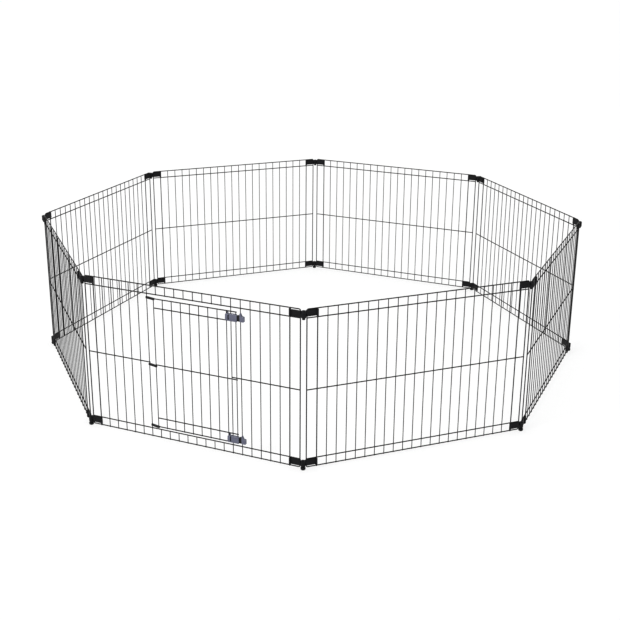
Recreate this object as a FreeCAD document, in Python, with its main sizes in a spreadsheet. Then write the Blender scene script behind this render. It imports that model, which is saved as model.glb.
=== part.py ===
import FreeCAD, Part
import math
import os

import Sketcher
from FreeCAD import Placement, Rotation, Vector

# A folding wire pen for pets: eight equal wire panels stand in a regular octagon and are
# hinged at the corners. The panel that faces -Y has a gate. Z is up, the floor is Z = 0 and
# the origin is the middle of the floor area. Every panel is drawn in its own frame: X along
# the panel, Y = 0 in the plane of its thick wires, -Y outside the pen, Z up from the floor.

doc = FreeCAD.newDocument("pet_playpen")

# ------------------------------------------------------------------ driving dimensions (mm)

DIMENSIONS = (
    # the ring of panels
    ("panel_count", 8, "panels in the ring"),
    ("corner_pitch", 910, "hinge pin to hinge pin along one panel"),
    ("pin_offset", 12.25, "hinge pin to the outermost upright of a panel"),
    # one wire panel
    ("ground_gap", 9, "floor to the middle of the bottom wire"),
    ("panel_height", 610, "bottom wire to top wire, middle to middle"),
    ("band_height", 32.75, "top wire to the wire below it, and the same at the bottom"),
    ("mid_height", 305, "bottom wire to the middle wire"),
    ("upright_gaps", 23, "gaps between the 24 uprights of a panel"),
    ("frame_wire_r", 2, "radius of the horizontals and of the two uprights at each end"),
    ("upright_r", 1.45, "radius of the uprights between them"),
    ("loop_bend_r", 6, "corner radius of the outer wire loop, to the middle of the wire"),
    ("weld_depth", 0.1, "how far crossing wires sink into each other at a weld"),
    ("weld_overhang", 1, "how far an upright runs past the wire that it ends on"),
    ("wire_end_edge", 0.35, "bevel on the cut ends of the uprights"),
    # the gate's opening, counted in uprights from the panel's left end
    ("gate_left_upright", 8, "last full upright left of the opening"),
    ("gate_right_upright", 17, "first full upright right of the opening"),
    # the door
    ("door_plane", 7.6, "door horizontals, in front of the gate panel's plane"),
    ("door_left", -140.4, "first upright of the door, from the panel's middle"),
    ("door_pitch", 37.5, "upright to upright in the door"),
    ("door_gaps", 9, "gaps between the 10 uprights of the door"),
    ("door_bottom", 56.5, "floor to the door's bottom wire"),
    ("door_height", 516, "door's bottom wire to its top wire"),
    ("door_band", 36, "top wire to the wire below it, and the same at the bottom"),
    ("door_mid", 254.5, "door's bottom wire to its middle wire"),
    # corner arms and hinge knuckles
    ("arm_thickness", 6.4, "thickness of an arm's plate"),
    ("arm_height", 24.5, "height of an arm's plate"),
    ("arm_edge_r", 1, "rounding of the plate's long edges"),
    ("fit_gap", 0.1, "gap between an arm and the horizontal wire that it lies against"),
    ("wire_grip", 0.05, "radial clearance of a wire in the moulding around it"),
    ("rib_r", 3.8, "radius of the rib around the second upright"),
    ("arm_drop", 3.9, "how much lower the top arm at the right end of the gate panel sits"),
    ("slope_start", 17.5, "hinge pin to where the arm's top starts to slope down"),
    ("slope_run", 10, "length of the slope along the panel"),
    ("slope_fall", 1.5, "height of the slope"),
    ("recess_depth", 0.6, "depth of the shallow panel moulded into an arm's outer face"),
    ("recess_margin", 4, "recess to the plate's long edges and to the rib"),
    ("recess_end", 8, "recess to the panel's outermost upright"),
    ("recess_corner", 2.2, "corner radius of the recess"),
    ("web_thickness", 6, "thickness of the web between an arm and its knuckle"),
    ("knuckle_r", 8.7, "outer radius of a knuckle"),
    ("knuckle_height", 10.5, "height of a knuckle"),
    ("knuckle_gap", 0.3, "gap between the two knuckles of a corner"),
    ("knuckle_edge", 0.6, "chamfer on a knuckle's rims"),
    # hinge pins and feet
    ("pin_r", 3.2, "radius of a hinge pin's shaft"),
    ("pin_clearance", 0.06, "radial clearance of a pin in its knuckles"),
    ("pin_head_r", 4.4, "radius of a pin's snap head"),
    ("pin_head_height", 1.6, "height of a pin's snap head"),
    ("pin_head_taper", 0.5, "how much narrower the head is at its top"),
    ("pin_play", 0.2, "end play between a pin's shoulders and the knuckles"),
    ("stub_r", 5.7, "radius of the stub below a top hinge pin"),
    ("stub_length", 7, "length of that stub"),
    ("stub_edge_r", 1.8, "rounding of the stub's end"),
    ("neck_r", 5.5, "radius of the neck above a foot"),
    ("foot_r", 9.25, "radius of a foot"),
    ("foot_height", 11.8, "height of a foot"),
    ("foot_low_r", 4.6, "rounding of a foot's lower rim"),
    ("foot_high_r", 3.5, "rounding of a foot's upper rim"),
    # door hinge clips
    ("clip_r", 4, "radius of a clip's ends, which is half its thickness"),
    ("clip_height", 7, "height of a clip"),
    ("clip_edge_r", 0.8, "rounding of a clip's rims"),
    ("clip_mid_drop", 3.7, "how far the middle clip sits below the door's middle wire"),
    ("hinge_clearance", 0.06, "radial clearance of a clip on the upright that it turns on"),
    # slide latches
    ("tool_reach", 1, "how far a cut runs past the material that it cuts"),
    ("latch_seat", 2, "housing's lower edge above the door wire below it"),
    ("latch_height", 26.5, "height of a latch housing"),
    ("latch_left", 40, "housing's left edge, left of the door's last upright"),
    ("latch_right", 7, "housing's right edge, right of the door's last upright"),
    ("shell_front", 18.6, "front face of the housing, in front of the panel's plane"),
    ("shell_corner", 2.5, "bevel at the housing's corners"),
    ("shell_edge_r", 1.2, "rounding of the housing's front edges"),
    ("crown_r", 70, "radius of the housing's front face, which is crowned from bottom to top"),
    ("plate_back", 5.4, "back face of the back plate, in front of the panel's plane"),
    ("plate_right", 1.8, "back plate's right edge, right of the door's last upright"),
    ("plate_inset", 0.6, "how far the back plate is set in from the housing's outline"),
    ("lug_width", 7.5, "width of the back plate's lug"),
    ("lug_front", 9.4, "front face of that lug, in front of the panel's plane"),
    ("bolt_left", 31.1, "bolt's left end, left of the door's last upright"),
    ("bolt_right", 17.4, "end of the bolt's wide part, right of the door's last upright"),
    ("bolt_low", 3, "bolt's lower edge above the housing's"),
    ("bolt_high", 23.6, "bolt's upper edge above the housing's lower edge"),
    ("bolt_front", 15.8, "bolt's front face, in front of the panel's plane"),
    ("bolt_back", 12.7, "bolt's back face, in front of the panel's plane"),
    ("slide_gap", 0.3, "gap around the bolt in its channel"),
    ("web_left", 2.1, "left face of the bolt's web, right of the door's last upright"),
    ("web_right", 5.8, "right face of that web"),
    ("tongue_tip", 12.4, "tip of the bolt's tongue, right of the door's last upright"),
    ("tongue_inset", 3, "how far the tongue is lower and shallower than the bolt"),
    ("tongue_front", 0.9, "tongue's front face, behind the plane of the gate panel's uprights"),
    ("tongue_back", 3.4, "tongue's back face, behind the same plane"),
    ("tenon_right", 26.5, "end of the tenon in the nose cap, right of the door's last upright"),
    ("tenon_low", 6.5, "tenon's lower edge above the housing's"),
    ("tenon_high", 18, "tenon's upper edge above the housing's lower edge"),
    ("window_left", 29.2, "left edge of the housing's slot, left of the last upright"),
    ("window_width", 4.6, "width of that slot"),
    ("window_low", 4.2, "slot's lower edge above the housing's"),
    ("window_high", 24.9, "slot's upper edge above the housing's lower edge"),
    ("nose_left", 17.6, "nose cap's left edge, right of the door's last upright"),
    ("nose_right", 35.6, "nose cap's right edge, right of the door's last upright"),
    ("nose_front", 18.8, "front face of the nose cap, in front of the panel's plane"),
    ("nose_back", 10, "back face of the nose cap, in front of the panel's plane"),
    ("nose_edge_r", 1.4, "rounding of the nose cap's front and back edges"),
    ("nose_low", 2.6, "nose cap's lower edge above the housing's"),
    ("nose_bevel", 2.5, "bevel at the nose cap's corners"),
    ("nose_step", 2, "width of the nose cap's lower left bevel and of its horn's tip"),
    ("pad_high", 23.5, "top of the thumb pad above the housing's lower edge"),
    ("pad_left", 11, "left end of the thumb pad's top, right of the nose cap's left edge"),
    ("horn_high", 35, "top of the horn above the housing's lower edge"),
    ("horn_width", 4.5, "width of the horn's top"),
    ("horn_foot", 1.5, "height of the small step at the foot of the horn"),
    ("screw_x", 34.4, "latch screws, left of the door's last upright"),
    ("screw_low", 7, "lower screw above the housing's lower edge"),
    ("screw_high", 19.5, "upper screw above the housing's lower edge"),
    ("screw_r", 1.2, "radius of a screw's shank"),
    ("screw_head_r", 2.3, "radius of a screw's head"),
    ("screw_head_height", 1.5, "height of a screw's head"),
    ("screw_tip", 15, "tip of a screw, in front of the panel's plane"),
    ("screw_slot_width", 0.7, "width of the cross slot in a screw's head"),
    ("screw_slot_reach", 1.6, "middle of the head to the ends of the cross slot"),
    ("screw_slot_depth", 0.8, "depth of the cross slot"),
    ("screw_end_gap", 0.2, "gap between a screw's tip and the end of its hole"),
)

dims = doc.addObject("Spreadsheet::Sheet", "Dims")
for row, (alias, value, note) in enumerate(DIMENSIONS, start=1):
    dims.set(f"A{row}", note)
    dims.set(f"B{row}", str(value))
    dims.setAlias(f"B{row}", alias)
doc.recompute()

# ------------------------------------------------------------------ places, as expressions

PIN_X = "(Dims.corner_pitch / 2)"
OUTER_X = f"({PIN_X} - Dims.pin_offset)"
UPRIGHT_PITCH = f"(2 * {OUTER_X} / Dims.upright_gaps)"
SECOND_X = f"({OUTER_X} - {UPRIGHT_PITCH})"
APOTHEM = "(Dims.corner_pitch / 2 / tan(180 / Dims.panel_count))"
CORNER_RADIUS = "(Dims.corner_pitch / 2 / sin(180 / Dims.panel_count))"

BOTTOM_Z = "Dims.ground_gap"
LOWER_Z = "(Dims.ground_gap + Dims.band_height)"
MID_Z = "(Dims.ground_gap + Dims.mid_height)"
TOP_Z = "(Dims.ground_gap + Dims.panel_height)"
UPPER_Z = f"({TOP_Z} - Dims.band_height)"

THIN_Y = "(Dims.weld_depth - Dims.frame_wire_r - Dims.upright_r)"
THICK_Y = "(Dims.weld_depth - 2 * Dims.frame_wire_r)"

DOOR_LAST_X = "(Dims.door_left + Dims.door_gaps * Dims.door_pitch)"
DOOR_Y = "(0 - Dims.door_plane)"
DOOR_UPRIGHT_Y = f"({DOOR_Y} + {THIN_Y})"
DOOR_TOP_Z = "(Dims.door_bottom + Dims.door_height)"
DOOR_UPPER_Z = f"({DOOR_TOP_Z} - Dims.door_band)"
DOOR_LOWER_Z = "(Dims.door_bottom + Dims.door_band)"
DOOR_MID_Z = "(Dims.door_bottom + Dims.door_mid)"

ARM_BELOW_WIRE = "(Dims.frame_wire_r + Dims.fit_gap + Dims.arm_height)"
LOW_ARM_Z = f"({LOWER_Z} - {ARM_BELOW_WIRE})"
HIGH_ARM_Z = f"({TOP_Z} - {ARM_BELOW_WIRE})"
HINGE_STACK = "(2 * Dims.knuckle_height + Dims.knuckle_gap)"

ALONG_X = Rotation(Vector(0, 1, 0), 90)
ALONG_MINUS_Y = Rotation(Vector(1, 0, 0), 90)
NEARLY = 1e-4


def upright_x(number):
    """X of an upright, counted from 1 at the panel's left end."""
    return f"(({number} - 1) * {UPRIGHT_PITCH} - {OUTER_X})"


# ------------------------------------------------------------------ building blocks

def put(piece, x, y, z):
    """Bind a piece's position to three expressions."""
    for axis, expression in zip("xyz", (x, y, z)):
        piece.setExpression(f"Placement.Base.{axis}", str(expression))
    return piece


def rod(name, radius, length, start, turn=None):
    """A round bar from a start point, upright unless it is turned."""
    piece = doc.addObject("Part::Cylinder", name)
    if turn is not None:
        piece.Placement = Placement(Vector(), turn)
    piece.setExpression("Radius", radius)
    piece.setExpression("Height", length)
    return put(piece, *start)


def upright(name, radius, x, y, low, high):
    """A round bar along Z between two heights."""
    return rod(name, radius, f"{high} - {low}", (x, y, low))


def crosswire(name, low, high, y, z):
    """A thick wire along X between two ends."""
    return rod(name, "Dims.frame_wire_r", f"{high} - {low}", (low, y, z), ALONG_X)


def block(name, x, y, z):
    """A box between pairs of expressions."""
    piece = doc.addObject("Part::Box", name)
    for side, (low, high) in zip(("Length", "Width", "Height"), (x, y, z)):
        piece.setExpression(side, f"({high}) - ({low})")
    return put(piece, x[0], y[0], z[0])


def fused(name, pieces):
    """Several pieces as one solid."""
    joined = doc.addObject("Part::MultiFuse", name)
    joined.Shapes = pieces
    joined.Refine = True
    return joined


def cut_away(name, base, tools):
    """Cut every tool out of the base."""
    result = doc.addObject("Part::Cut", name)
    result.Base = base
    result.Tool = tools[0] if len(tools) == 1 else fused(name + "_tools", tools)
    result.Refine = True
    return result


def matching_edges(shape, test):
    """Numbers of the edges that pass a test, counted from 1."""
    return [number for number, edge in enumerate(shape.Edges, start=1) if test(edge)]


def eased(name, base, kind, radius, test):
    """Round or bevel the chosen edges of a piece; the radius is a cell of the sheet."""
    doc.recompute()
    size = getattr(dims, radius)
    result = doc.addObject(kind, name)
    result.Base = base
    result.Edges = [(number, size, size) for number in matching_edges(base.Shape, test)]
    return result


def runs_along(edge, axis):
    """True for a straight edge parallel to an axis."""
    if not isinstance(edge.Curve, Part.Line):
        return False
    return abs(edge.tangentAt(edge.FirstParameter).dot(axis)) > 1 - NEARLY


def is_round(edge):
    """True for a circular edge."""
    return isinstance(edge.Curve, Part.Circle)


def cut_wire(name, radius, x, y, low, high):
    """An upright cut from wire, with a small bevel round both ends."""
    bar = upright(name + "_bar", radius, x, y, low, high)
    return eased(name, bar, "Part::Chamfer", "wire_end_edge", is_round)


def body_with_sketch(name, points):
    """A body with a closed outline in its XZ plane; the points are pairs of expressions."""
    body = doc.addObject("PartDesign::Body", name)
    sketch = body.newObject("Sketcher::SketchObject", name + "_outline")
    plane = next(item for item in body.Origin.OriginFeatures if item.Role == "XZ_Plane")
    sketch.AttachmentSupport = [(plane, "")]
    sketch.MapMode = "FlatFace"
    count = len(points)
    start = []
    for i in range(count):
        angle = math.tau * i / count
        start.append(Vector(math.cos(angle), math.sin(angle), 0))
    for i in range(count):
        sketch.addGeometry(Part.LineSegment(start[i], start[(i + 1) % count]))
    for i in range(count):
        sketch.addConstraint(Sketcher.Constraint("Coincident", i, 2, (i + 1) % count, 1))
    for i, (sideways, up) in enumerate(points):
        for kind, expression, guess in (("DistanceX", sideways, start[i].x), ("DistanceY", up, start[i].y)):
            number = sketch.addConstraint(Sketcher.Constraint(kind, -1, 1, i, 1, guess))
            sketch.setExpression(f"Constraints[{number}]", expression)
    return body, sketch


def turned(name, profile):
    """A body of revolution about Z from a profile of (radius, height)."""
    body, sketch = body_with_sketch(name, profile)
    turning = body.newObject("PartDesign::Revolution", name + "_turning")
    turning.Profile = sketch
    turning.ReferenceAxis = (sketch, ["V_Axis"])
    turning.Angle = 360
    return body


def slab(name, outline, near, far):
    """A body with its outline seen from the front, between two distances in front of Y = 0."""
    body, sketch = body_with_sketch(name, outline)
    pad = body.newObject("PartDesign::Pad", name + "_pad")
    pad.Profile = sketch
    pad.Midplane = True
    pad.setExpression("Length", f"{far} - {near}")
    body.setExpression("Placement.Base.y", f"0 - ({far} + {near}) / 2")
    return body


def ease_body(body, radius, test):
    """Add a fillet to the chosen edges of a body; the radius is a cell of the sheet."""
    doc.recompute()
    base = body.Tip
    chosen = matching_edges(base.Shape, test)
    rounding = body.newObject("PartDesign::Fillet", f"{body.Name}_{radius}")
    rounding.Base = (base, [f"Edge{number}" for number in chosen])
    rounding.setExpression("Radius", f"Dims.{radius}")
    body.Tip = rounding
    return body


def circle_at(radius, height):
    """A test for the round edge of a turned piece at a radius and a height."""
    def test(edge):
        if not is_round(edge):
            return False
        circle = edge.Curve
        return abs(circle.Radius - radius) < NEARLY and abs(circle.Center.z - height) < NEARLY
    return test


def edge_of_face_at(body, faces):
    """A test for the edges of a slab that lie in one of its front or back faces."""
    middle = body.Placement.Base.y

    def test(edge):
        return any(abs(edge.CenterOfMass.y + middle - face) < NEARLY for face in faces)
    return test


NODES = []


def node(name, pieces, x="0", y="0", turn=0):
    """A sub-part: its solids, in their own frame, stood at its place in the ring."""
    part = doc.addObject("Part::Compound", name)
    part.Label = name
    part.Links = pieces
    part.Placement = Placement(Vector(), Rotation(Vector(0, 0, 1), turn))
    put(part, x, y, "0")
    NODES.append(part)


def panel_node(name, pieces, number):
    """A sub-part of the panel with this number, counted round the ring from 1 at the gate."""
    turn = f"({number} - 1) * 360 / Dims.panel_count"
    degrees = (number - 1) * 360 / dims.panel_count
    node(name, pieces, f"{APOTHEM} * sin({turn})", f"0 - {APOTHEM} * cos({turn})", degrees)


def corner_node(name, pieces, number):
    """A sub-part on the hinge pin at the right end of the panel with this number."""
    turn = f"({number} - 0.5) * 360 / Dims.panel_count"
    degrees = (number - 0.5) * 360 / dims.panel_count
    node(name, pieces, f"{CORNER_RADIUS} * sin({turn})", f"0 - {CORNER_RADIUS} * cos({turn})", degrees)


# ------------------------------------------------------------------ wire panels

# quarter bends of the loop: name, the way it faces in X and Z, and its turn about Y
BENDS = (
    ("top_right", 1, 1, 0),
    ("top_left", -1, 1, -90),
    ("bottom_left", -1, -1, 180),
    ("bottom_right", 1, -1, 90),
)


def loop_bend(name, wire_r, side, end, turn_about_y):
    """A quarter ring at a corner of the outer loop."""
    bend = doc.addObject("Part::Torus", name)
    bend.Placement = Placement(Vector(), Rotation(Vector(0, 1, 0), turn_about_y) * ALONG_MINUS_Y)
    bend.setExpression("Radius1", "Dims.loop_bend_r")
    bend.setExpression("Radius2", wire_r)
    bend.Angle3 = 90
    height = f"{TOP_Z} - Dims.loop_bend_r" if end > 0 else f"{BOTTOM_Z} + Dims.loop_bend_r"
    return put(bend, f"{side} * ({OUTER_X} - Dims.loop_bend_r)", "0", height)


def outer_loop():
    """The thick wire round the panel: four straight runs and four bends."""
    low = f"({BOTTOM_Z} + Dims.loop_bend_r)"
    high = f"({TOP_Z} - Dims.loop_bend_r)"
    end = f"({OUTER_X} - Dims.loop_bend_r)"
    wires = [
        crosswire("bottom_wire", f"(0 - {end})", end, "0", BOTTOM_Z),
        crosswire("top_wire", f"(0 - {end})", end, "0", TOP_Z),
        upright("left_outer_wire", "Dims.frame_wire_r", f"0 - {OUTER_X}", "0", low, high),
        upright("right_outer_wire", "Dims.frame_wire_r", OUTER_X, "0", low, high),
    ]
    for name, side, end_side, turn in BENDS:
        wires.append(loop_bend("bend_" + name, "Dims.frame_wire_r", side, end_side, turn))
    return wires


def full_upright(number, thick):
    """An upright from the bottom wire to the top wire."""
    radius = "Dims.frame_wire_r" if thick else "Dims.upright_r"
    low = f"({BOTTOM_Z} - Dims.weld_overhang)"
    high = f"({TOP_Z} + Dims.weld_overhang)"
    y = THICK_Y if thick else THIN_Y
    return cut_wire(f"upright_{number}", radius, upright_x(number), y, low, high)


def short_upright(number, name, low, high):
    """An upright that spans one band only, above or below the gate's opening."""
    low_end = f"({low} - Dims.weld_overhang)"
    high_end = f"({high} + Dims.weld_overhang)"
    label = f"{name}_upright_{number}"
    return cut_wire(label, "Dims.upright_r", upright_x(number), THIN_Y, low_end, high_end)


UPRIGHTS = int(dims.upright_gaps) + 1
INNER_NUMBERS = range(2, UPRIGHTS)
OPENING_NUMBERS = range(int(dims.gate_left_upright) + 1, int(dims.gate_right_upright))
WIRE_END = f"({OUTER_X} - Dims.frame_wire_r + 2 * Dims.weld_depth)"

loop = outer_loop()
upper_wire = crosswire("upper_wire", f"(0 - {WIRE_END})", WIRE_END, "0", UPPER_Z)
lower_wire = crosswire("lower_wire", f"(0 - {WIRE_END})", WIRE_END, "0", LOWER_Z)
middle_wire = crosswire("middle_wire", f"(0 - {WIRE_END})", WIRE_END, "0", MID_Z)
THICK_NUMBERS = (2, UPRIGHTS - 1)
uprights = {number: full_upright(number, number in THICK_NUMBERS) for number in INNER_NUMBERS}

opening_left = upright_x("Dims.gate_left_upright")
opening_right = upright_x("Dims.gate_right_upright")
gate_middle_wires = [
    crosswire("middle_wire_left", f"(0 - {WIRE_END})", f"({opening_left} + Dims.upright_r)", "0", MID_Z),
    crosswire("middle_wire_right", f"({opening_right} - Dims.upright_r)", WIRE_END, "0", MID_Z),
]
gate_short_uprights = []
for number in OPENING_NUMBERS:
    gate_short_uprights.append(short_upright(number, "bottom", BOTTOM_Z, LOWER_Z))
    gate_short_uprights.append(short_upright(number, "top", UPPER_Z, TOP_Z))

plain_wires = loop + [upper_wire, lower_wire, middle_wire] + list(uprights.values())
gate_uprights = [wire for number, wire in uprights.items() if number not in OPENING_NUMBERS]
gate_wires = loop + [upper_wire, lower_wire] + gate_middle_wires + gate_uprights + gate_short_uprights

# ------------------------------------------------------------------ corner arms and pins


def across(thickness):
    """A Y range of this thickness about the panel's plane."""
    return f"0 - {thickness} / 2", f"{thickness} / 2"


def arm_slope(name, top):
    """The cutting block that gives an arm's top its slope towards the pin."""
    slope = doc.addObject("Part::Box", name)
    angle = math.degrees(math.atan2(dims.slope_fall, dims.slope_run))
    slope.Placement = Placement(Vector(), Rotation(Vector(0, 1, 0), angle))
    for side in ("Length", "Width", "Height"):
        slope.setExpression(side, "2 * Dims.slope_run")
    return put(slope, f"{PIN_X} - Dims.slope_start", "0 - Dims.slope_run", top)


def arm_recess(name, low, high):
    """The shallow panel with round corners in an arm's outer face."""
    x = (f"{SECOND_X} + Dims.rib_r + Dims.recess_margin", f"{OUTER_X} - Dims.recess_end")
    y = ("0 - Dims.arm_thickness", "Dims.recess_depth - Dims.arm_thickness / 2")
    pocket = block(name + "_block", x, y, (f"{low} + Dims.recess_margin", f"{high} - Dims.recess_margin"))
    return eased(name, pocket, "Part::Fillet", "recess_corner",
                 lambda edge: runs_along(edge, Vector(0, 1, 0)))


def corner_arm(name, base, rib_z, knuckle_z, round_bend):
    """An arm at the right end of a panel: plate, rib, web and knuckle, holed for wires and pin."""
    top = f"({base} + Dims.arm_height)"
    plate = block(name + "_plate", (SECOND_X, OUTER_X), across("Dims.arm_thickness"), (base, top))
    plate = eased(name + "_plate_eased", plate, "Part::Fillet", "arm_edge_r",
                  lambda edge: runs_along(edge, Vector(1, 0, 0)))
    end = upright(name + "_end", "Dims.arm_thickness / 2", OUTER_X, "0", base, top)
    rib = upright(name + "_rib", "Dims.rib_r", SECOND_X, THICK_Y, *rib_z)
    web = block(name + "_web", (OUTER_X, PIN_X), across("Dims.web_thickness"), knuckle_z)
    plate_body = fused(name + "_plate_body", [plate, end, rib, web])
    shaped = cut_away(name + "_shaped", plate_body, [
        arm_slope(name + "_slope", top),
        arm_recess(name + "_recess", base, top),
    ])
    knuckle = upright(name + "_knuckle", "Dims.knuckle_r", PIN_X, "0", *knuckle_z)
    knuckle = eased(name + "_knuckle_eased", knuckle, "Part::Chamfer", "knuckle_edge", is_round)

    hole_r = "Dims.frame_wire_r + Dims.wire_grip"
    hole_z = (f"({rib_z[0]} - Dims.tool_reach)", f"({rib_z[1]} + Dims.tool_reach)")
    tools = [
        upright(name + "_outer_hole", hole_r, OUTER_X, "0", *hole_z),
        upright(name + "_second_hole", hole_r, SECOND_X, THICK_Y, *hole_z),
        upright(name + "_bore", "Dims.pin_r + Dims.pin_clearance", PIN_X, "0", *hole_z),
    ]
    if round_bend:
        _, side, end_side, turn = BENDS[0]
        tools.append(loop_bend(name + "_bend_hole", hole_r, side, end_side, turn))
    return cut_away(name, fused(name + "_body", [shaped, knuckle]), tools)


def mirrored(name, piece):
    """The same piece at the panel's left end."""
    result = doc.addObject("Part::Mirroring", name)
    result.Source = piece
    result.Normal = (1, 0, 0)
    return result


CLEAR_OF_WIRE = "(Dims.frame_wire_r + Dims.fit_gap)"
low_band = (f"({BOTTOM_Z} + {CLEAR_OF_WIRE})", f"({LOWER_Z} - {CLEAR_OF_WIRE})")
high_band = (f"({UPPER_Z} + {CLEAR_OF_WIRE})", f"({TOP_Z} - {CLEAR_OF_WIRE})")



def lower_knuckle(base, stack_low):
    """The heights of a knuckle from an arm's base to the middle of the corner's stack."""
    return base, f"({stack_low} + Dims.knuckle_height)"


def upper_knuckle(stack_low):
    """The heights of the knuckle that sits on the lower one."""
    return f"({stack_low} + Dims.knuckle_height + Dims.knuckle_gap)", f"({stack_low} + {HINGE_STACK})"


DROPPED_Z = f"({HIGH_ARM_Z} - Dims.arm_drop)"
right_low_arm = corner_arm(
    "right_low_arm", LOW_ARM_Z, low_band, lower_knuckle(LOW_ARM_Z, LOW_ARM_Z), False)
right_high_arm = corner_arm(
    "right_high_arm", HIGH_ARM_Z, high_band, lower_knuckle(HIGH_ARM_Z, HIGH_ARM_Z), True)
dropped_arm = corner_arm(
    "dropped_arm", DROPPED_Z, high_band, lower_knuckle(DROPPED_Z, HIGH_ARM_Z), True)
low_form = corner_arm("low_form", LOW_ARM_Z, low_band, upper_knuckle(LOW_ARM_Z), False)
high_form = corner_arm("high_form", HIGH_ARM_Z, high_band, upper_knuckle(HIGH_ARM_Z), True)
left_low_arm = mirrored("left_low_arm", low_form)
left_high_arm = mirrored("left_high_arm", high_form)


def hinge_pin(name, below, stack_low):
    """A turned pin: its parts below the knuckles, then the shaft and the snap head."""
    head_low = f"{stack_low} + {HINGE_STACK} + Dims.pin_play"
    head_high = f"{head_low} + Dims.pin_head_height"
    profile = below + [
        ("Dims.pin_r", f"{stack_low} - Dims.pin_play"),
        ("Dims.pin_r", head_low),
        ("Dims.pin_head_r", head_low),
        ("Dims.pin_head_r - Dims.pin_head_taper", head_high),
        ("0", head_high),
    ]
    return turned(name, profile)


def foot_pin():
    """The pin of the bottom knuckles, with the neck and the foot under it."""
    shoulder = f"{LOW_ARM_Z} - Dims.pin_play"
    below = [
        ("0", "0"),
        ("Dims.foot_r", "0"),
        ("Dims.foot_r", "Dims.foot_height"),
        ("Dims.neck_r", "Dims.foot_height"),
        ("Dims.neck_r", shoulder),
    ]
    pin = hinge_pin("foot_pin_form", below, LOW_ARM_Z)
    ease_body(pin, "foot_high_r", circle_at(dims.foot_r, dims.foot_height))
    return ease_body(pin, "foot_low_r", circle_at(dims.foot_r, 0))


def top_pin(name, drop):
    """The pin of the top knuckles, with the stub under it; the drop is the lower arm's."""
    stack_low = f"({HIGH_ARM_Z} - {drop})"
    stub_low = f"{stack_low} - Dims.pin_play - Dims.stub_length"
    below = [
        ("0", stub_low),
        ("Dims.stub_r", stub_low),
        ("Dims.stub_r", f"{stack_low} - Dims.pin_play"),
        ("Dims.pin_r", f"{stack_low} - Dims.pin_play"),
    ]
    pin = hinge_pin(name, below, HIGH_ARM_Z)
    doc.recompute()
    lowest = pin.Shape.BoundBox.ZMin
    return ease_body(pin, "stub_edge_r", circle_at(dims.stub_r, lowest))


# ------------------------------------------------------------------ the gate's door

door_wires = []
for number in range(int(dims.door_gaps) + 1):
    x = f"(Dims.door_left + {number} * Dims.door_pitch)"
    low_end = "(Dims.door_bottom - Dims.weld_overhang)"
    high_end = f"({DOOR_TOP_Z} + Dims.weld_overhang)"
    wire = cut_wire(f"door_upright_{number + 1}", "Dims.upright_r", x, DOOR_UPRIGHT_Y, low_end, high_end)
    door_wires.append(wire)
DOOR_WIRE_HEIGHTS = (
    ("bottom", "Dims.door_bottom"),
    ("lower", DOOR_LOWER_Z),
    ("middle", DOOR_MID_Z),
    ("upper", DOOR_UPPER_Z),
    ("top", DOOR_TOP_Z),
)
door_ends = ("(Dims.door_left - Dims.upright_r)", f"({DOOR_LAST_X} + Dims.upright_r)")
for name, height in DOOR_WIRE_HEIGHTS:
    door_wires.append(crosswire(f"door_{name}_wire", *door_ends, DOOR_Y, height))


def hinge_clip(name, height, wire_height):
    """A flat link with round ends: it turns on the gate panel's upright and grips the door's."""
    low = f"({height} - Dims.clip_height / 2)"
    high = f"({height} + Dims.clip_height / 2)"
    hinge_end = upright(name + "_hinge_end", "Dims.clip_r", opening_left, THIN_Y, low, high)
    door_end = upright(name + "_door_end", "Dims.clip_r", "Dims.door_left", DOOR_UPRIGHT_Y, low, high)
    doc.recompute()
    reach = door_end.Placement.Base - hinge_end.Placement.Base
    link = doc.addObject("Part::Box", name + "_link")
    link.Placement = Placement(Vector(), Rotation(Vector(1, 0, 0), Vector(reach.x, reach.y, 0)))
    link.Length = math.hypot(reach.x, reach.y)
    link.setExpression("Width", "2 * Dims.clip_r")
    link.setExpression("Height", "Dims.clip_height")
    side = link.Placement.Rotation.multVec(Vector(0, 1, 0))
    link_x = f"{opening_left} - Dims.clip_r * {side.x:.6f}"
    put(link, link_x, f"{THIN_Y} - Dims.clip_r * {side.y:.6f}", low)
    body = fused(name + "_body", [hinge_end, door_end, link])
    body = eased(name + "_eased", body, "Part::Fillet", "clip_edge_r",
                 lambda edge: edge.BoundBox.ZLength < NEARLY)
    hole_z = (f"({low} - Dims.tool_reach)", f"({high} + Dims.tool_reach)")
    bore_r = "Dims.upright_r + Dims.hinge_clearance"
    bore = upright(name + "_bore", bore_r, opening_left, THIN_Y, *hole_z)
    grip_r = "Dims.upright_r + Dims.wire_grip"
    grip = upright(name + "_grip", grip_r, "Dims.door_left", DOOR_UPRIGHT_Y, *hole_z)
    notch_start = ("Dims.door_left - Dims.upright_r - Dims.tool_reach", DOOR_Y, wire_height)
    notch_r = "Dims.frame_wire_r + Dims.wire_grip"
    notch = rod(name + "_notch", notch_r, "2 * Dims.clip_r", notch_start, ALONG_X)
    return cut_away(name, body, [bore, grip, notch])


def from_last(side, distance):
    """X at a distance left (-1) or right (+1) of the door's last upright."""
    return f"({DOOR_LAST_X} {'+' if side > 0 else '-'} {distance})"


def in_front(distance):
    """Y at a distance in front of the panel's plane."""
    return f"(0 - {distance})"


def bevelled_outline(left, right, low, high, bevel):
    """A rectangle with its corners cut off, as points of an outline."""
    return [
        (f"{left} + {bevel}", low),
        (f"{right} - {bevel}", low),
        (right, f"{low} + {bevel}"),
        (right, f"{high} - {bevel}"),
        (f"{right} - {bevel}", high),
        (f"{left} + {bevel}", high),
        (left, f"{high} - {bevel}"),
        (left, f"{low} + {bevel}"),
    ]


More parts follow.
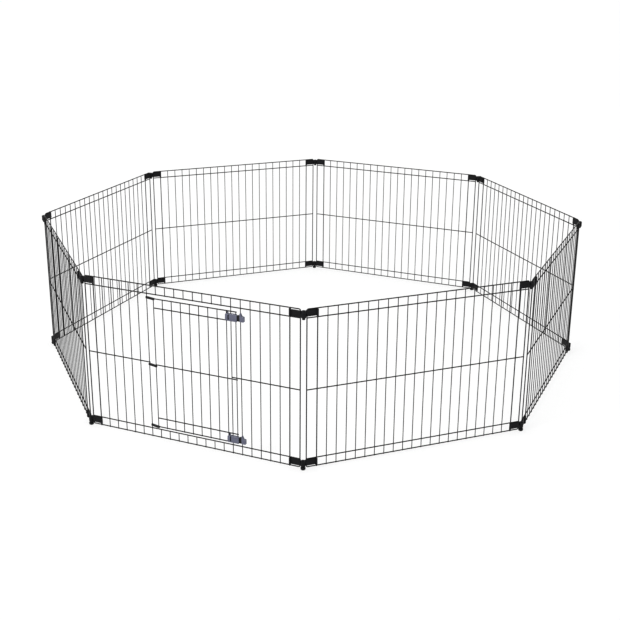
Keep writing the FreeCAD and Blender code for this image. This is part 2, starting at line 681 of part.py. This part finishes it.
def nose_outline(seat):
    """The nose cap from the front: a square thumb pad with a pointed horn at its upper left."""
    left, right = "Dims.nose_left", "Dims.nose_right"
    low, step, bevel = "Dims.nose_low", "Dims.nose_step", "Dims.nose_bevel"
    points = (
        (left, f"{low} + {step}"),
        (f"{left} + {step}", low),
        (f"{right} - {bevel}", low),
        (right, f"{low} + {bevel}"),
        (right, f"Dims.pad_high - {bevel}"),
        (f"{right} - {bevel}", "Dims.pad_high"),
        (f"{left} + Dims.pad_left", "Dims.pad_high"),
        (f"{left} + Dims.pad_left - {step}", "Dims.pad_high + Dims.horn_foot"),
        (f"{left} + Dims.horn_width", "Dims.horn_high"),
        (f"{left} + {step}", "Dims.horn_high"),
        (left, f"Dims.horn_high - {step}"),
    )
    return [(from_last(1, x), f"{seat} + ({z})") for x, z in points]


def crowned(name, shell, left, right, seat):
    """The housing's form with its front face rounded from bottom to top, and its edges eased."""
    start = (f"{left} - Dims.tool_reach", "Dims.crown_r - Dims.shell_front",
             f"{seat} + Dims.latch_height / 2")
    length = f"{right} - {left} + 2 * Dims.tool_reach"
    barrel = rod(name + "_barrel", "Dims.crown_r", length, start, ALONG_X)
    form = doc.addObject("Part::Common", name + "_form")
    form.Base = shell
    form.Tool = barrel
    doc.recompute()
    axis = barrel.Placement.Base

    def on_crown(edge):
        """True for an edge whose two ends lie on the barrel."""
        for parameter in (edge.FirstParameter, edge.LastParameter):
            end = edge.valueAt(parameter)
            if abs(math.hypot(end.y - axis.y, end.z - axis.z) - dims.crown_r) > NEARLY:
                return False
        return True

    return eased(name, form, "Part::Fillet", "shell_edge_r", on_crown)


def slide_latch(name, wire_z):
    """One latch on the door: housing, back plate, bolt, nose cap and two screws."""
    seat = f"({wire_z} + Dims.latch_seat)"
    top = f"({seat} + Dims.latch_height)"
    split = DOOR_UPRIGHT_Y
    left, right = from_last(-1, "Dims.latch_left"), from_last(1, "Dims.latch_right")
    ninth_x = f"({DOOR_LAST_X} - Dims.door_pitch)"
    tall = (f"({seat} - Dims.tool_reach)", f"({top} + Dims.tool_reach)")
    grip_r = "Dims.upright_r + Dims.wire_grip"

    def wire_grooves(owner):
        """Half round grooves for the door's last two uprights."""
        return [
            upright(f"{name}_{owner}_groove_9", grip_r, ninth_x, split, *tall),
            upright(f"{name}_{owner}_groove_10", grip_r, DOOR_LAST_X, split, *tall),
        ]

    screw_x = from_last(-1, "Dims.screw_x")
    screw_heights = (f"({seat} + Dims.screw_low)", f"({seat} + Dims.screw_high)")
    back = in_front("Dims.plate_back")

    def screw_bars(owner, radius, start, length):
        """Round bars at both screws, which run forward from a start plane."""
        bars = []
        for number, height in enumerate(screw_heights, start=1):
            label = f"{name}_{owner}_{number}"
            bars.append(rod(label, radius, length, (screw_x, start, height), ALONG_MINUS_Y))
        return bars

    bolt_z = (f"({seat} + Dims.bolt_low)", f"({seat} + Dims.bolt_high)")
    channel_z = (f"({bolt_z[0]} - Dims.slide_gap)", f"({bolt_z[1]} + Dims.slide_gap)")
    channel_x = (f"({from_last(-1, 'Dims.bolt_left')} - Dims.slide_gap)", f"({right} + Dims.tool_reach)")
    channel_y = (in_front("(Dims.bolt_front + Dims.slide_gap)"), f"({split} + Dims.tool_reach)")
    window_x = from_last(-1, "Dims.window_left")

    outline = bevelled_outline(left, right, seat, top, "Dims.shell_corner")
    shell = slab(f"{name}_shell_form", outline, f"({in_front(split)})", "Dims.shell_front")
    shell = crowned(f"{name}_crowned", shell, left, right, seat)
    housing_tools = wire_grooves("housing") + [
        block(f"{name}_channel", channel_x, channel_y, channel_z),
        block(f"{name}_window", (window_x, f"{window_x} + Dims.window_width"),
              (in_front("(Dims.shell_front + Dims.tool_reach)"), split),
              (f"{seat} + Dims.window_low", f"{seat} + Dims.window_high")),
    ]
    hole_depth = f"Dims.screw_tip + {split} + Dims.screw_end_gap"
    housing_tools += screw_bars("screw_hole", "Dims.screw_r", split, hole_depth)
    housing = cut_away(f"{name}_housing_solid", shell, housing_tools)

    plate_left = f"({left} + Dims.plate_inset)"
    plate = block(f"{name}_plate", (plate_left, from_last(1, "Dims.plate_right")), (split, back),
                  (f"({seat} + Dims.plate_inset)", f"({top} - Dims.plate_inset)"))
    lug_x = (plate_left, f"{plate_left} + Dims.lug_width")
    lug_z = (f"({top} - 2 * Dims.plate_inset)", f"({wire_z} + Dims.door_band - {CLEAR_OF_WIRE})")
    lug = block(f"{name}_lug", lug_x, (in_front("Dims.lug_front"), back), lug_z)
    plate_tools = wire_grooves("plate")
    plate_tools += screw_bars("plate_hole", "Dims.screw_r", back, f"{back} - {split} + Dims.tool_reach")
    plate_tools += screw_bars("head_hole", "Dims.screw_head_r", back, "Dims.screw_head_height")
    plate_body = fused(f"{name}_plate_body", [plate, lug])
    back_plate = cut_away(f"{name}_back_plate_solid", plate_body, plate_tools)

    bolt_y = (in_front("Dims.bolt_front"), in_front("Dims.bolt_back"))
    behind_uprights = f"{THIN_Y} + Dims.upright_r"
    tongue_y = (f"({behind_uprights} + Dims.tongue_front)", f"({behind_uprights} + Dims.tongue_back)")
    web_x = (from_last(1, "Dims.web_left"), from_last(1, "Dims.web_right"))
    tongue_z = (f"({bolt_z[0]} + Dims.tongue_inset)", f"({bolt_z[1]} - Dims.tongue_inset)")
    tenon_z = (f"({seat} + Dims.tenon_low)", f"({seat} + Dims.tenon_high)")
    tenon_x = (from_last(1, "Dims.bolt_right"), from_last(1, "Dims.tenon_right"))
    bar_x = (from_last(-1, "Dims.bolt_left"), from_last(1, "Dims.bolt_right"))
    bolt = fused(f"{name}_bolt_solid", [
        block(f"{name}_bar", bar_x, bolt_y, bolt_z),
        block(f"{name}_web", web_x, (bolt_y[0], tongue_y[1]), tongue_z),
        block(f"{name}_tongue", (web_x[0], from_last(1, "Dims.tongue_tip")), tongue_y, tongue_z),
        block(f"{name}_tenon", tenon_x, bolt_y, tenon_z),
    ])
    nose = slab(f"{name}_nose_form", nose_outline(seat), "Dims.nose_back", "Dims.nose_front")
    doc.recompute()
    ease_body(nose, "nose_edge_r", edge_of_face_at(nose, [-dims.nose_front, -dims.nose_back]))
    socket = block(f"{name}_socket", tenon_x, bolt_y, tenon_z)
    nose_cap = cut_away(f"{name}_nose_cap_solid", nose, [socket])

    shanks = screw_bars("shank", "Dims.screw_r", back, f"Dims.screw_tip + {back}")
    heads = screw_bars("head", "Dims.screw_head_r", back, "Dims.screw_head_height")
    slot_y = (f"{back} - Dims.screw_slot_depth", f"{back} + Dims.tool_reach")
    reach, half_width = "Dims.screw_slot_reach", "Dims.screw_slot_width / 2"
    screws = []
    for shank, head, height in zip(shanks, heads, screw_heights):
        slots = []
        for label, half_x, half_z in (("flat", reach, half_width), ("tall", half_width, reach)):
            slot_x = (f"{screw_x} - {half_x}", f"{screw_x} + {half_x}")
            slot_z = (f"{height} - {half_z}", f"{height} + {half_z}")
            slots.append(block(f"{head.Name}_{label}_slot", slot_x, slot_y, slot_z))
        plain_screw = fused(f"{head.Name}_and_shank", [shank, head])
        screws.append(cut_away(f"{head.Name}_slotted", plain_screw, slots))
    return housing, back_plate, bolt, nose_cap, screws


# ------------------------------------------------------------------ sub-parts

for number in range(1, int(dims.panel_count) + 1):
    if number == 1:
        panel_node("gate_wire_panel", gate_wires, number)
        panel_node("right_corner_clips_1", [right_low_arm, dropped_arm], number)
    else:
        panel_node(f"wire_panel_{number}", plain_wires, number)
        panel_node(f"right_corner_clips_{number}", [right_low_arm, right_high_arm], number)
    panel_node(f"left_corner_clips_{number}", [left_low_arm, left_high_arm], number)

foot_form = foot_pin()
top_form = top_pin("top_pin_form", "0")
long_top_form = top_pin("long_top_pin_form", "Dims.arm_drop")
for number in range(1, int(dims.panel_count) + 1):
    corner_node(f"foot_pin_{number}", [foot_form], number)
    corner_node(f"top_pin_{number}", [long_top_form if number == 1 else top_form], number)

panel_node("door_wire_panel", door_wires, 1)
clips = [
    hinge_clip("top_clip", DOOR_TOP_Z, DOOR_TOP_Z),
    hinge_clip("middle_clip", f"({DOOR_MID_Z} - Dims.clip_mid_drop)", DOOR_MID_Z),
    hinge_clip("bottom_clip", "Dims.door_bottom", "Dims.door_bottom"),
]
panel_node("door_hinge_clips", clips, 1)
all_screws = []
for name, wire_z in (("upper_latch", DOOR_UPPER_Z), ("lower_latch", "Dims.door_bottom")):
    housing, back_plate, bolt, nose_cap, screws = slide_latch(name, wire_z)
    panel_node(name + "_housing", [housing], 1)
    panel_node(name + "_back_plate", [back_plate], 1)
    panel_node(name + "_bolt", [bolt], 1)
    panel_node(name + "_nose_cap", [nose_cap], 1)
    all_screws += screws
panel_node("latch_screws", all_screws, 1)

# ------------------------------------------------------------------ checks and files

doc.recompute()
for item in doc.Objects:
    if "Invalid" in item.State or "Error" in item.State:
        raise RuntimeError(f"{item.Name} did not build: {item.State}")

os.makedirs("parts", exist_ok=True)
for part in NODES:
    shape = part.Shape
    if shape.isNull() or not shape.isValid() or not shape.Solids:
        raise RuntimeError(f"{part.Label} has no valid solid")
    shape.exportStep(f"parts/{part.Label}.step")
    print(f"{part.Label}: {len(shape.Solids)} solids, {shape.Volume / 1000:.2f} cm3")
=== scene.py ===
import math
import random

import bmesh
import bpy
from mathutils import Matrix, Vector


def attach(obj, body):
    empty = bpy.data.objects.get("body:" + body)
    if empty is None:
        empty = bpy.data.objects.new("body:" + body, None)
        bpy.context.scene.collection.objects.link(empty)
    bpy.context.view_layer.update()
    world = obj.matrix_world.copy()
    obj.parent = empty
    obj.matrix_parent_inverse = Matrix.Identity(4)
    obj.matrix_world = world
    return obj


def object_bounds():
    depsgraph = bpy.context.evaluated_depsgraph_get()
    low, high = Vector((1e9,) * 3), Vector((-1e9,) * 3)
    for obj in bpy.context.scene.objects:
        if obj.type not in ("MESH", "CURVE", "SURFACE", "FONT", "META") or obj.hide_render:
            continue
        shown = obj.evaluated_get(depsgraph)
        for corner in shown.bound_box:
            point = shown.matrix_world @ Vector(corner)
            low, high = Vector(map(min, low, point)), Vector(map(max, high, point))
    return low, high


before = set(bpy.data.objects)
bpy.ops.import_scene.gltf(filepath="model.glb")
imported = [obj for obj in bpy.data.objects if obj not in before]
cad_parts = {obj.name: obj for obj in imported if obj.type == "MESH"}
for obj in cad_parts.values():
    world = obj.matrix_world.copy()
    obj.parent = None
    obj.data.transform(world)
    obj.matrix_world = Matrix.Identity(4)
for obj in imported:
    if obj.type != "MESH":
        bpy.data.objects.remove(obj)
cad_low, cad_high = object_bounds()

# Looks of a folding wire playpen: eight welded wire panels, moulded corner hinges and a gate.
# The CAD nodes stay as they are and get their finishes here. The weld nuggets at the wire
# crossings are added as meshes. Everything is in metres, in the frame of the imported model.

MM = 0.001
PANELS = 8

# the finishes
EDGE_RADIUS_MM = 0.7  # how wide the rubbed part of a moulding's edge is
EDGE_SAMPLES = 4
ALL_FLAT = 0.98  # bevelled normal against true normal: flat above this
ALL_EDGE = 0.80  # and fully rubbed below this

# the weld nuggets, in mm
NUGGET_HALF = (2.0, 0.75, 1.7)  # half sizes along the panel, across it and up
NUGGET_SPREAD = (0.9, 1.1)  # how much one nugget's sizes differ from the next one's
LOBE_SPREAD = (0.93, 1.07)  # how uneven a nugget's outline is
NUGGET_SIDES = 12
NUGGET_RINGS = 6
THICKEST_WIRE = 6 * MM
SAME_POINT_DIGITS = 5  # points that agree to 0.01 mm are one point

# the camera: where it stands, which way it looks, and its lens
CAMERA_PLACE = (1.928, -4.420, 1.948)
CAMERA_YAW = 23.575  # degrees from +Y towards -X
CAMERA_DOWN = 20.113  # degrees below level
CAMERA_ROLL = 0.368
SENSOR = 36.0
LENS = 65.3

# the studio
FLOOR_SIZE = 120
FLOOR_GREY = 0.2
FLOOR_GLOW = 0.79
SKY_STRENGTH = 1.0
SOFTBOXES = (
    # name, place, side length, watts
    ("key", (-2.8, -5.8, 2.6), 1.8, 180),
    ("fill", (4.5, -3.0, 4.5), 2.5, 15),
)
LIT_POINT = (0, 0, 0.3)  # the point that the softboxes face
VIEW_GAMMA = 0.75


# ------------------------------------------------------------------ materials


class Finish:
    """A material made of one Principled shader and the procedural nodes that feed it."""

    def __init__(self, name, **values):
        self.material = bpy.data.materials.new(name)
        self.material.use_nodes = True
        self.tree = self.material.node_tree
        self.shader = self.tree.nodes["Principled BSDF"]
        for socket, value in values.items():
            self.shader.inputs[socket.replace("_", " ")].default_value = value
        self.place = self.tree.nodes.new("ShaderNodeTexCoord").outputs["Object"]

    def node(self, kind, **settings):
        made = self.tree.nodes.new(kind)
        for name, value in settings.items():
            setattr(made, name, value)
        return made

    def link(self, output, target):
        self.tree.links.new(output, target)

    def noise(self, grain_mm, detail, stretch=(1, 1, 1)):
        """Noise with features about grain_mm across, drawn out along an axis if stretched."""
        mapping = self.node("ShaderNodeMapping")
        mapping.inputs["Scale"].default_value = [1 / times for times in stretch]
        self.link(self.place, mapping.inputs["Vector"])
        made = self.node("ShaderNodeTexNoise")
        made.inputs["Scale"].default_value = 1 / (grain_mm * MM)
        made.inputs["Detail"].default_value = detail
        self.link(mapping.outputs["Vector"], made.inputs["Vector"])
        return made.outputs["Fac"]

    def spread(self, value, span, to=(0, 1)):
        """A value stretched from one span to another, and held inside it."""
        made = self.node("ShaderNodeMapRange")
        for socket, number in zip(("From Min", "From Max", "To Min", "To Max"), (*span, *to)):
            made.inputs[socket].default_value = number
        self.link(value, made.inputs["Value"])
        return made.outputs["Result"]

    def blend(self, factor, first, second):
        """A colour between two colours; each may be fixed or come from another node."""
        made = self.node("ShaderNodeMix", data_type="RGBA")
        self.link(factor, made.inputs["Factor"])
        for socket, colour in (("A", first), ("B", second)):
            target = next(s for s in made.inputs if s.name == socket and s.type == "RGBA")
            if isinstance(colour, bpy.types.NodeSocket):
                self.link(colour, target)
            else:
                target.default_value = (*colour, 1)
        return next(s for s in made.outputs if s.type == "RGBA")

    def rubbed_edges(self):
        """Near 1 on the sharp edges of a moulding and 0 on its flats."""
        soft = self.node("ShaderNodeBevel", samples=EDGE_SAMPLES)
        soft.inputs["Radius"].default_value = EDGE_RADIUS_MM * MM
        hard = self.node("ShaderNodeNewGeometry")
        dot = self.node("ShaderNodeVectorMath", operation="DOT_PRODUCT")
        self.link(soft.outputs["Normal"], dot.inputs[0])
        self.link(hard.outputs["Normal"], dot.inputs[1])
        return self.spread(dot.outputs["Value"], span=(ALL_FLAT, ALL_EDGE))

    def colour(self, output):
        self.link(output, self.shader.inputs["Base Color"])

    def roughness(self, output):
        self.link(output, self.shader.inputs["Roughness"])

    def bump(self, heights):
        """Surface relief from (height output, depth in mm) pairs, finest last."""
        normal = None
        for height, depth_mm in heights:
            made = self.node("ShaderNodeBump")
            made.inputs["Strength"].default_value = 1.0
            made.inputs["Distance"].default_value = depth_mm * MM
            self.link(height, made.inputs["Height"])
            if normal is not None:
                self.link(normal, made.inputs["Normal"])
            normal = made.outputs["Normal"]
        self.link(normal, self.shader.inputs["Normal"])


def wire_coating():
    """Black satin coating on steel wire, with its orange peel and a few thin spots."""
    finish = Finish("black_wire_coating", Specular_IOR_Level=0.35, Coat_Weight=0.08,
                    Coat_Roughness=0.25)
    tone = finish.spread(finish.noise(grain_mm=9, detail=3), span=(0.35, 0.7))
    base = finish.blend(tone, (0.0055, 0.0052, 0.0055), (0.0125, 0.0112, 0.0108))
    thin = finish.spread(finish.noise(grain_mm=2.2, detail=4), span=(0.68, 0.78), to=(0, 0.5))
    finish.colour(finish.blend(thin, base, (0.03, 0.026, 0.024)))
    gloss = finish.noise(grain_mm=1.4, detail=3)
    finish.roughness(finish.spread(gloss, span=(0.3, 0.7), to=(0.34, 0.52)))
    orange_peel = finish.noise(grain_mm=1.6, detail=1)
    grain = finish.noise(grain_mm=0.35, detail=2)
    finish.bump([(orange_peel, 0.035), (grain, 0.012)])
    return finish.material


def moulded_plastic(name, dark, light, rubbed, roughness, grain_mm, specular, coat=0.0):
    """Injection-moulded plastic: fine spark-eroded grain, faint flow marks and rubbed edges."""
    finish = Finish(name, Specular_IOR_Level=specular, Coat_Weight=coat, Coat_Roughness=0.12)
    flow = finish.noise(grain_mm=11, detail=4, stretch=(3.5, 3.5, 1))
    base = finish.blend(finish.spread(flow, span=(0.35, 0.68)), dark, light)
    speckle = finish.spread(finish.noise(grain_mm=0.8, detail=3), span=(0.6, 0.75), to=(0, 0.35))
    base = finish.blend(speckle, base, rubbed)
    edge = finish.rubbed_edges()
    patches = finish.noise(grain_mm=2.6, detail=3)
    patchy = finish.spread(patches, span=(0.4, 0.65), to=(0.15, 0.8))
    worn = finish.node("ShaderNodeMath", operation="MULTIPLY")
    finish.link(edge, worn.inputs[0])
    finish.link(patchy, worn.inputs[1])
    finish.colour(finish.blend(worn.outputs[0], base, rubbed))
    gloss = finish.noise(grain_mm=3.5, detail=4)
    finish.roughness(finish.spread(gloss, span=(0.3, 0.7), to=roughness))
    waves = finish.noise(grain_mm=6, detail=2)
    grain = finish.noise(grain_mm=grain_mm, detail=2)
    finish.bump([(waves, 0.03), (grain, 0.02)])
    return finish.material


def corner_plastic():
    return moulded_plastic(
        "corner_plastic",
        dark=(0.0055, 0.0055, 0.0065),
        light=(0.0110, 0.0110, 0.0130),
        rubbed=(0.045, 0.045, 0.050),
        roughness=(0.38, 0.56),
        grain_mm=0.35,
        specular=0.3,
    )


def latch_plastic():
    return moulded_plastic(
        "latch_plastic",
        dark=(0.108, 0.113, 0.158),
        light=(0.140, 0.146, 0.196),
        rubbed=(0.22, 0.23, 0.28),
        roughness=(0.2, 0.31),
        grain_mm=0.6,
        specular=0.5,
        coat=0.25,
    )


def bolt_plastic():
    return moulded_plastic(
        "bolt_plastic",
        dark=(0.006, 0.006, 0.0065),
        light=(0.010, 0.010, 0.011),
        rubbed=(0.03, 0.03, 0.032),
        roughness=(0.34, 0.48),
        grain_mm=0.3,
        specular=0.42,
    )


def screw_steel():
    """Zinc plated steel with turning marks and a faint yellow bloom."""
    finish = Finish("screw_steel", Metallic=1.0)
    bloom = finish.spread(finish.noise(grain_mm=2.5, detail=3), span=(0.35, 0.7))
    finish.colour(finish.blend(bloom, (0.58, 0.58, 0.57), (0.50, 0.47, 0.40)))
    gloss = finish.noise(grain_mm=0.6, detail=3)
    finish.roughness(finish.spread(gloss, span=(0.3, 0.7), to=(0.24, 0.42)))
    turning_marks = finish.noise(grain_mm=0.25, detail=2, stretch=(1, 6, 1))
    finish.bump([(turning_marks, 0.01)])
    return finish.material


def dress_nodes(wire):
    """Give each CAD node the finish of its kind, known by a word in the node's name."""
    corner = corner_plastic()
    latch = latch_plastic()
    kinds = (
        ("wire_panel", wire),
        ("corner_clips", corner),
        ("foot_pin", corner),
        ("top_pin", corner),
        ("hinge_clips", corner),
        ("housing", latch),
        ("nose_cap", latch),
        ("back_plate", latch),
        ("bolt", bolt_plastic()),
        ("screws", screw_steel()),
    )
    for name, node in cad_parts.items():
        finish = next(material for word, material in kinds if word in name)
        node.data.materials.clear()
        node.data.materials.append(finish)


# ------------------------------------------------------------------ weld nuggets


def find(parents, item):
    """The root of an item's set, with the path to it shortened on the way."""
    while parents[item] != item:
        parents[item] = parents[parents[item]]
        item = parents[item]
    return item


def wire_boxes(node, turn):
    """Corner pairs of the separate solids in a node's mesh, seen in its panel's own frame."""
    spin = Matrix.Rotation(-turn, 3, "Z")
    first_at, parents, points = {}, [], []
    for vertex in node.data.vertices:
        point = spin @ vertex.co
        spot = tuple(round(value, SAME_POINT_DIGITS) for value in point)
        parents.append(first_at.setdefault(spot, len(points)))
        points.append(point)
    for face in node.data.polygons:
        roots = [find(parents, vertex) for vertex in face.vertices]
        for root in roots:
            parents[find(parents, root)] = find(parents, roots[0])
    groups = {}
    for number, point in enumerate(points):
        groups.setdefault(find(parents, number), []).append(point)
    boxes = []
    for group in groups.values():
        low = Vector(min(point[axis] for point in group) for axis in range(3))
        high = Vector(max(point[axis] for point in group) for axis in range(3))
        boxes.append((low, high))
    return boxes


def crossings(boxes):
    """Places where an upright lies on a horizontal: X, the Y of the contact, and Z."""
    uprights, horizontals, bends = [], [], []
    for low, high in boxes:
        size = high - low
        if size.x < THICKEST_WIRE:
            uprights.append((low, high))
        elif size.z < THICKEST_WIRE:
            horizontals.append((low, high))
        else:
            bends.append((low, high))
    wire_r = (horizontals[0][1].z - horizontals[0][0].z) / 2
    levels = [((low.z + high.z) / 2, low, high) for low, high in horizontals]
    for low, high in bends:
        levels += [(low.z + wire_r, low, high), (high.z - wire_r, low, high)]
    places = []
    for low, high in uprights:
        x = (low.x + high.x) / 2
        for z, wire_low, wire_high in levels:
            beside = wire_low.x - THICKEST_WIRE < x < wire_high.x + THICKEST_WIRE
            if beside and low.z - wire_r < z < high.z + wire_r:
                places.append(Vector((x, (high.y + wire_low.y) / 2, z)))
    return places


def add_nugget(mesh, centre, spin, rng):
    """The metal that a spot weld squeezes out between two wires: an uneven flat bead."""
    half = [size * MM * rng.uniform(*NUGGET_SPREAD) for size in NUGGET_HALF]
    lobes = [rng.uniform(*LOBE_SPREAD) for _ in range(NUGGET_SIDES)]
    rings = []
    for ring in range(1, NUGGET_RINGS):
        rise = math.pi * ring / NUGGET_RINGS
        row = []
        for side, lobe in enumerate(lobes):
            angle = math.tau * side / NUGGET_SIDES
            reach = math.sin(rise) * lobe
            along = math.cos(angle) * reach * half[0]
            across = -math.cos(rise) * half[1]
            up = math.sin(angle) * reach * half[2]
            row.append(mesh.verts.new(spin @ (centre + Vector((along, across, up)))))
        rings.append(row)
    for row, next_row in zip(rings, rings[1:]):
        for side in range(NUGGET_SIDES):
            after = (side + 1) % NUGGET_SIDES
            mesh.faces.new((row[side], next_row[side], next_row[after], row[after]))
    for row, sign in ((rings[0], -1), (rings[-1], 1)):
        pole = mesh.verts.new(spin @ (centre + Vector((0, sign * half[1], 0))))
        for side in range(NUGGET_SIDES):
            after = (side + 1) % NUGGET_SIDES
            pair = (row[side], row[after]) if sign < 0 else (row[after], row[side])
            mesh.faces.new((*pair, pole))


def add_welds(name, node_name, body, turn, wire, keep_out=()):
    """One piece with a nugget at every crossing of a node's wires, except in keep_out boxes."""
    rng = random.Random(name)
    spin = Matrix.Rotation(turn, 3, "Z")
    mesh = bmesh.new()
    for centre in crossings(wire_boxes(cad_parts[node_name], turn)):
        covered = any(
            all(low[axis] < centre[axis] < high[axis] for axis in range(3))
            for low, high in keep_out
        )
        if not covered:
            add_nugget(mesh, centre, spin, rng)
    bmesh.ops.recalc_face_normals(mesh, faces=mesh.faces)
    data = bpy.data.meshes.new(name)
    mesh.to_mesh(data)
    mesh.free()
    for face in data.polygons:
        face.use_smooth = True
    data.materials.append(wire)
    piece = bpy.data.objects.new(name, data)
    bpy.context.scene.collection.objects.link(piece)
    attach(piece, body)


def add_all_welds(wire):
    for number in range(1, PANELS + 1):
        node = "gate_wire_panel" if number == 1 else f"wire_panel_{number}"
        turn = math.tau * (number - 1) / PANELS
        add_welds(f"weld_nuggets_{number}", node, f"panel_{number}", turn, wire)
    clips = wire_boxes(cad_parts["door_hinge_clips"], 0)
    add_welds("door_weld_nuggets", "door_wire_panel", "door", 0, wire, clips)


# ------------------------------------------------------------------ studio


def add_camera():
    data = bpy.data.cameras.new("camera")
    data.sensor_width = SENSOR
    data.lens = LENS
    camera = bpy.data.objects.new("camera", data)
    bpy.context.scene.collection.objects.link(camera)
    level = Matrix.Rotation(math.radians(CAMERA_YAW), 4, "Z")
    tilt = Matrix.Rotation(math.radians(90 - CAMERA_DOWN), 4, "X")
    roll = Matrix.Rotation(math.radians(CAMERA_ROLL), 4, "Z")
    camera.matrix_world = Matrix.Translation(CAMERA_PLACE) @ level @ tilt @ roll
    bpy.context.scene.camera = camera


def add_floor():
    bpy.ops.mesh.primitive_plane_add(size=FLOOR_SIZE, location=(0, 0, cad_low.z))
    floor = bpy.context.object
    floor.name = "floor"
    grey = (FLOOR_GREY, FLOOR_GREY, FLOOR_GREY, 1)
    finish = Finish("floor_white", Base_Color=grey, Roughness=0.9, Specular_IOR_Level=0.1,
                    Emission_Color=(1, 1, 1, 1), Emission_Strength=FLOOR_GLOW)
    floor.data.materials.append(finish.material)


def add_light():
    world = bpy.data.worlds.new("studio")
    bpy.context.scene.world = world
    world.use_nodes = True
    sky = world.node_tree.nodes["Background"]
    sky.inputs["Color"].default_value = (1, 1, 1, 1)
    sky.inputs["Strength"].default_value = SKY_STRENGTH
    for name, place, size, watts in SOFTBOXES:
        data = bpy.data.lights.new(name, "AREA")
        data.shape = "SQUARE"
        data.size = size
        data.energy = watts
        lamp = bpy.data.objects.new(name, data)
        bpy.context.scene.collection.objects.link(lamp)
        lamp.location = place
        lamp.rotation_mode = "QUATERNION"
        facing = Vector(LIT_POINT) - Vector(place)
        lamp.rotation_quaternion = facing.to_track_quat("-Z", "Y")
    view = bpy.context.scene.view_settings
    view.view_transform = "Standard"
    view.gamma = VIEW_GAMMA


# ------------------------------------------------------------------ the scene

black_wire = wire_coating()
dress_nodes(black_wire)
add_all_welds(black_wire)
add_camera()
add_floor()
add_light()
